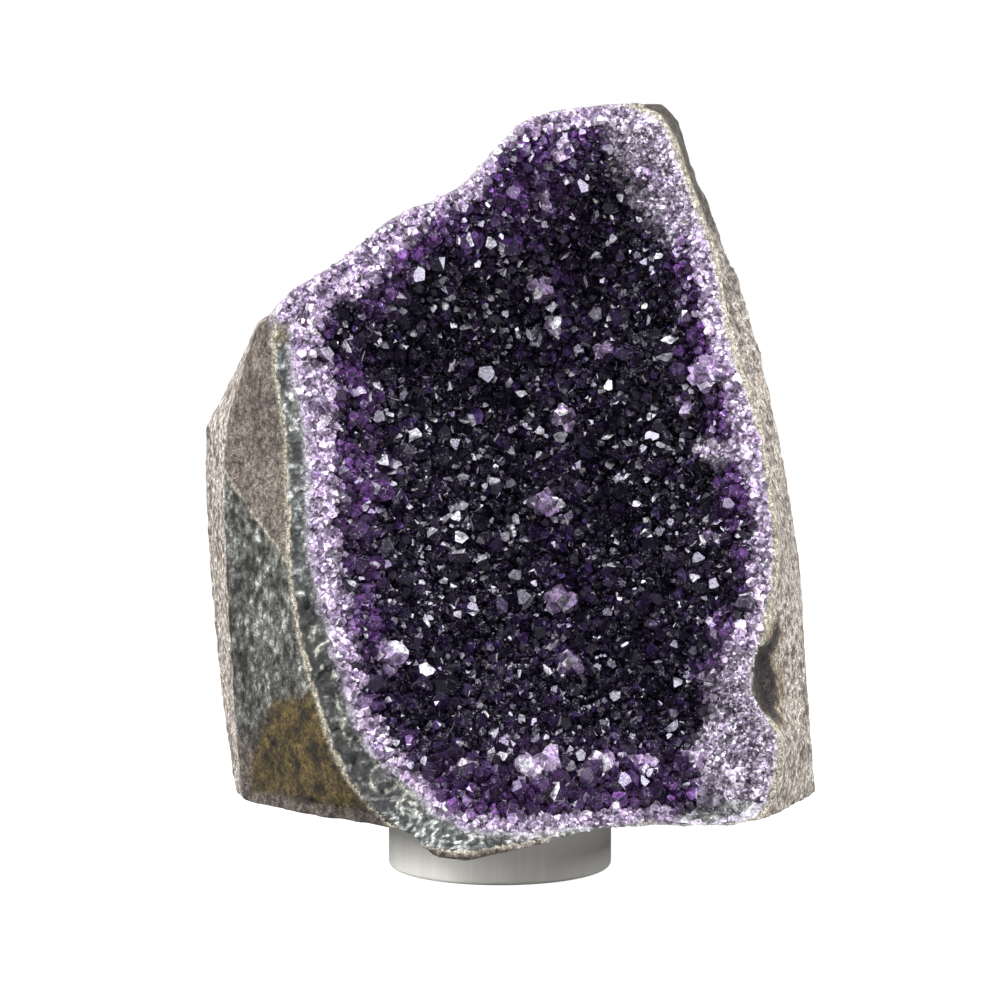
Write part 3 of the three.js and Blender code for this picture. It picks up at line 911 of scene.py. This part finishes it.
def crystal_tints(masks, index):
    """Tip and root colours of one crystal, and how strong its pale veins are: partly inclusions,
    partly painted inner reflections.
    """
    pick = {name: mask[index] for name, mask in masks.items()}
    # towards near-black: painted shade where the upper rim shades the druse, and a share of darker
    # crystals everywhere
    tip = mix(TINT_DARK, TINT_BLACK, varied(pick["dark"] + 0.2, 0.3))
    tip = mix(tip, TINT_VIOLET, varied(pick["violet"], 0.3))
    tip = mix(tip, TINT_BRIGHT, varied(pick["bright"] * 0.9, 0.25 * pick["bright"]))
    tip = mix(tip, TINT_LILAC, varied(pick["pale"], 0.5 * pick["pale"]))
    shadowed = 0.75 if rng.random() < 0.2 * pick["pale"] else 0
    tip = mix(tip, TINT_VIOLET, shadowed)
    crust_tip = mix(TINT_GREY, TINT_WHITE, rng.random())
    # about a third of the crust's crystals are tinted near-black: painted shade of the gaps between
    # them
    crust_tip = mix(crust_tip, TINT_GAP_SHADE, 1.0 if rng.random() < 0.36 else 0.0)
    tip = mix(tip, crust_tip, varied(pick["crust"], 0.3 * pick["crust"]))
    tip = mix(tip, TINT_FOOT, varied(pick["foot"], 0.3 * pick["foot"]))
    light = max(pick["pale"], pick["crust"]) * (1 - pick["foot"])
    root = mix(tip * 0.7, mix(TINT_LILAC, TINT_WHITE, rng.random()), 0.85 * light)
    vein_glints = 0.3 + 0.35 * max(pick["bright"], pick["crust"]) + 0.15 * pick["glint"]
    return tip, root, vein_glints


def node_axis(node):
    """Foot, direction, half-width and length of a CAD crystal."""
    points = coordinates(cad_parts[node].data)
    middle = points.mean(axis=0)
    tip = points[np.argmax(np.linalg.norm(points - middle, axis=1))]
    axis = Vector(tip - middle).normalized()
    along = (points - middle) @ np.array(axis)
    side = points - middle - np.outer(along, axis)
    return Vector(tip), axis, float(np.linalg.norm(side, axis=1).max()), float(np.ptp(along))


PROMINENT = sorted(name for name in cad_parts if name.startswith("crystal_"))


def build_prominent():
    """Each large CAD crystal, with the smaller ones that crowd round its foot."""
    taken = []
    for name in PROMINENT:
        tip_place, axis, half_width, length = node_axis(name)
        foot = tip_place - axis * length * 0.75
        place = np.array([foot])
        bright = float(np.clip(zones(place)["bright"][0] + 0.35, 0, 0.9))
        tip = mix(TINT_VIOLET, TINT_LILAC, bright * 0.85) * rng.uniform(0.9, 1.3)
        root = mix(tip, TINT_BRIGHT, 0.5)
        cluster = Crystals()
        # sparkle 0.3 and 0.25: share of faces with a painted glint; 0.9: strong pale veins, partly
        # painted inner reflections
        cluster.add(foot, axis, half_width * 0.9, 1.0, tip, root, 0.3, 0.9)
        for turn in range(5):
            angle = turn * math.tau / 5 + rng.uniform(-0.4, 0.4)
            side = axis.orthogonal().normalized()
            side = side * math.cos(angle) + axis.cross(side) * math.sin(angle)
            lean = (axis + side * rng.uniform(0.3, 0.8)).normalized()
            size = half_width * rng.uniform(0.45, 0.7)
            start = foot + side * half_width * rng.uniform(0.5, 0.85)
            cluster.add(start, lean, size, 1.0, tip * rng.uniform(0.7, 1.3), root, 0.25, 0.9)
        mesh = cluster.mesh(name)
        piece = add_object(f"prominent_{name}", mesh, BRIGHT_CRYSTAL)
        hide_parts(name)
        taken.append((np.array(foot), half_width * 2.2))
    return taken


def overgrown_rim():
    """The part of the agate band that small crystals grow over."""
    points = coordinates(agate_mesh)
    covered = upper_left_rim(points) > 0.5
    keep = [all(covered[list(face.vertices)]) for face in agate_mesh.polygons]
    return sub_mesh(agate_mesh, keep, "overgrown_rim")


def build_druse():
    bed = druse_bed()
    taken = build_prominent()
    places, normals = scatter_places(bed, CANDIDATES)
    rim_places, rim_normals = scatter_places(overgrown_rim(), RIM_CANDIDATES)
    places = np.concatenate([rim_places, places])
    normals = np.concatenate([rim_normals, normals])
    masks = zones(places)
    widths = crystal_widths(masks, len(places))
    bare = masks["foot"] > 0.5      # the dark wedge at the foot carries no crystals
    places, normals, widths = places[~bare], normals[~bare], widths[~bare]
    masks = {name: mask[~bare] for name, mask in masks.items()}
    kept = thinned(places, widths, taken)
    patches = [Crystals() for _ in range(COLUMNS * ROWS)]
    for index in kept:
        x, _, z = places[index]
        column = min(int((x - DRUSE_LOW.x) / DRUSE_WIDTH * COLUMNS), COLUMNS - 1)
        row = min(int((z - DRUSE_LOW.z) / DRUSE_HEIGHT * ROWS), ROWS - 1)
        patch = patches[max(row, 0) * COLUMNS + max(column, 0)]
        tip, root, vein_glints = crystal_tints(masks, index)
        # share of faces given a painted glint, most in the glint zone and the pale rim
        sparkle = 0.04 + 0.09 * masks["glint"][index] + 0.05 * masks["pale"][index]
        axis = leaning(places[index], normals[index], CRYSTAL_LEAN)
        stretch = rng.uniform(0.75, 1.25)
        patch.add(Vector(places[index]), axis, widths[index] / 2, stretch, tip, root,
                  sparkle, vein_glints)
    for number, patch in enumerate(patches):
        name = f"druse_points_{number // COLUMNS + 1}_{number % COLUMNS + 1}"
        if patch.count:
            add_object(name, patch.mesh(name), CRYSTAL)
    points = coordinates(bed)
    bed_masks = zones(points)
    colours = mix(BED_COLOUR, TINT_LILAC, np.clip(bed_masks["pale"] + bed_masks["crust"], 0, 1))
    streaks = layered(points * np.array([0.35, 1, 1]), 0.9 * MM, 131, 3)
    colours = mix(colours, mix(FOOT_DARK, FOOT_PALE, smooth(-0.3, 0.4, streaks)), bed_masks["foot"])
    paint(bed, colours)
    shade_smooth(bed)
    ground = add_object("druse_ground", bed, CRYSTAL)
    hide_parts("amethyst_druse")


# ---------------------------------------------------------------------------- the stand

STAND_TINT = srgb(234, 232, 226)
STAND_EDGE = 0.9 * MM       # radius of its rounded edges
STAND_STEPS = 180


def build_stand():
    low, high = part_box("display_stand")
    radius, height = (high.x - low.x) / 2, high.z - low.z
    edge = STAND_EDGE
    profile = [(0, 0)]
    for centre, start in ((edge, -90), (height - edge, 0)):
        for step in range(7):
            turn = math.radians(start + step * 15)
            profile.append((radius - edge + edge * math.cos(turn), centre + edge * math.sin(turn)))
    profile.append((0, height))
    turned = bmesh.new()
    line = [turned.verts.new((x, 0, low.z + z)) for x, z in profile]
    for first, second in zip(line, line[1:]):
        turned.edges.new((first, second))
    bmesh.ops.spin(turned, geom=turned.edges[:], cent=(0, 0, 0), axis=(0, 0, 1),
                   angle=math.tau, steps=STAND_STEPS)
    bmesh.ops.remove_doubles(turned, verts=turned.verts, dist=1e-6)
    bmesh.ops.recalc_face_normals(turned, faces=turned.faces)
    mesh = bpy.data.meshes.new("stand")
    turned.to_mesh(mesh)
    turned.free()
    points = coordinates(mesh)
    points[:, :2] += (low.xy + (high - low).xy / 2)
    set_coordinates(mesh, points)
    wear = noise(points * np.array([1, 1, 0.05]), 1.2 * MM, 120)
    paint(mesh, STAND_TINT * (1 + 0.03 * wear[:, None]))
    shade_smooth(mesh)
    stand = add_object("round_stand", mesh, STAND)
    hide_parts("display_stand")


# --------------------------------------------------------------------------- the studio

CAMERA_PLACE = (0, -0.761, 0.1522)
CAMERA_TARGET = (0, -0.011, 0.0764)
FOCAL_LENGTH = 135          # on a 36 mm wide sensor
BACKDROP_LEVEL = 1.0        # what the camera sees behind the object
FILL_LEVEL = 0.14           # the same surround, as a light
FLOOR_SIZE = 6
FLOOR_GLOW = 0.97           # whitens the floor for the camera only, like the backdrop
SOFT_BOXES = (              # name, place, size, radiance
    ("left_box", (-0.68, -0.24, 0.34), (0.24, 0.26), 30),
    ("right_box", (0.68, -0.2, 0.3), (0.22, 0.24), 27),
    ("top_box", (0.05, -0.3, 0.72), (0.22, 0.2), 27),
    ("front_spark", (-0.3, -0.85, 0.5), (0.12, 0.12), 38),
)
LIGHTS_AIM = (0, 0, 0.08)
FLOOR_TINT = 0.36


def build_camera():
    camera = bpy.data.cameras.new("camera")
    camera.lens = FOCAL_LENGTH
    camera.sensor_width = 36
    camera.clip_start = 0.01
    holder = bpy.data.objects.new("camera", camera)
    bpy.context.scene.collection.objects.link(holder)
    point_at(holder, CAMERA_PLACE, CAMERA_TARGET)
    bpy.context.scene.camera = holder


def point_at(holder, place, target):
    holder.location = place
    aim = Vector(target) - Vector(place)
    holder.rotation_euler = aim.to_track_quat("-Z", "Y").to_euler()


def soft_box(name, place, size, radiance):
    """A rectangular light that faces the geode, as bright as its radiance says."""
    light = bpy.data.lights.new(name, "AREA")
    light.shape = "RECTANGLE"
    light.size, light.size_y = size
    light.energy = radiance * math.pi * size[0] * size[1]
    holder = bpy.data.objects.new(name, light)
    bpy.context.scene.collection.objects.link(holder)
    point_at(holder, place, LIGHTS_AIM)


def build_floor():
    mesh = bpy.data.meshes.new("floor")
    plane = bmesh.new()
    bmesh.ops.create_grid(plane, x_segments=1, y_segments=1, size=FLOOR_SIZE)
    plane.to_mesh(mesh)
    plane.free()
    floor = bpy.data.objects.new("floor", mesh)
    bpy.context.scene.collection.objects.link(floor)
    material, nodes, links, shader = new_material("floor", 0.9)
    shader.inputs["Base Color"].default_value = (FLOOR_TINT, FLOOR_TINT, FLOOR_TINT, 1)
    shader.inputs["Emission Color"].default_value = (1, 1, 1, 1)
    path = add_node(nodes, "ShaderNodeLightPath")
    glow = add_node(nodes, "ShaderNodeMath", operation="MULTIPLY")
    glow.inputs[1].default_value = FLOOR_GLOW
    links.new(path.outputs["Is Camera Ray"], glow.inputs[0])
    links.new(glow.outputs["Value"], shader.inputs["Emission Strength"])
    mesh.materials.append(material)


def build_surround():
    """A white backdrop for the camera that lights the geode only dimly."""
    world = bpy.data.worlds.new("studio")
    world.use_nodes = True
    nodes, links = world.node_tree.nodes, world.node_tree.links
    background = nodes["Background"]
    background.inputs["Color"].default_value = (1, 1, 1, 1)
    path = add_node(nodes, "ShaderNodeLightPath")
    level = add_node(nodes, "ShaderNodeMapRange")
    level.inputs["To Min"].default_value = FILL_LEVEL
    level.inputs["To Max"].default_value = BACKDROP_LEVEL
    links.new(path.outputs["Is Camera Ray"], level.inputs["Value"])
    links.new(level.outputs["Result"], background.inputs["Strength"])
    bpy.context.scene.world = world


def build_studio():
    for name, place, size, radiance in SOFT_BOXES:
        soft_box(name, place, size, radiance)
    build_floor()
    build_surround()
    bpy.context.scene.view_settings.view_transform = "Standard"


build_rock()
build_agate()
build_druse()
build_quartz()
build_stand()
build_camera()
build_studio()
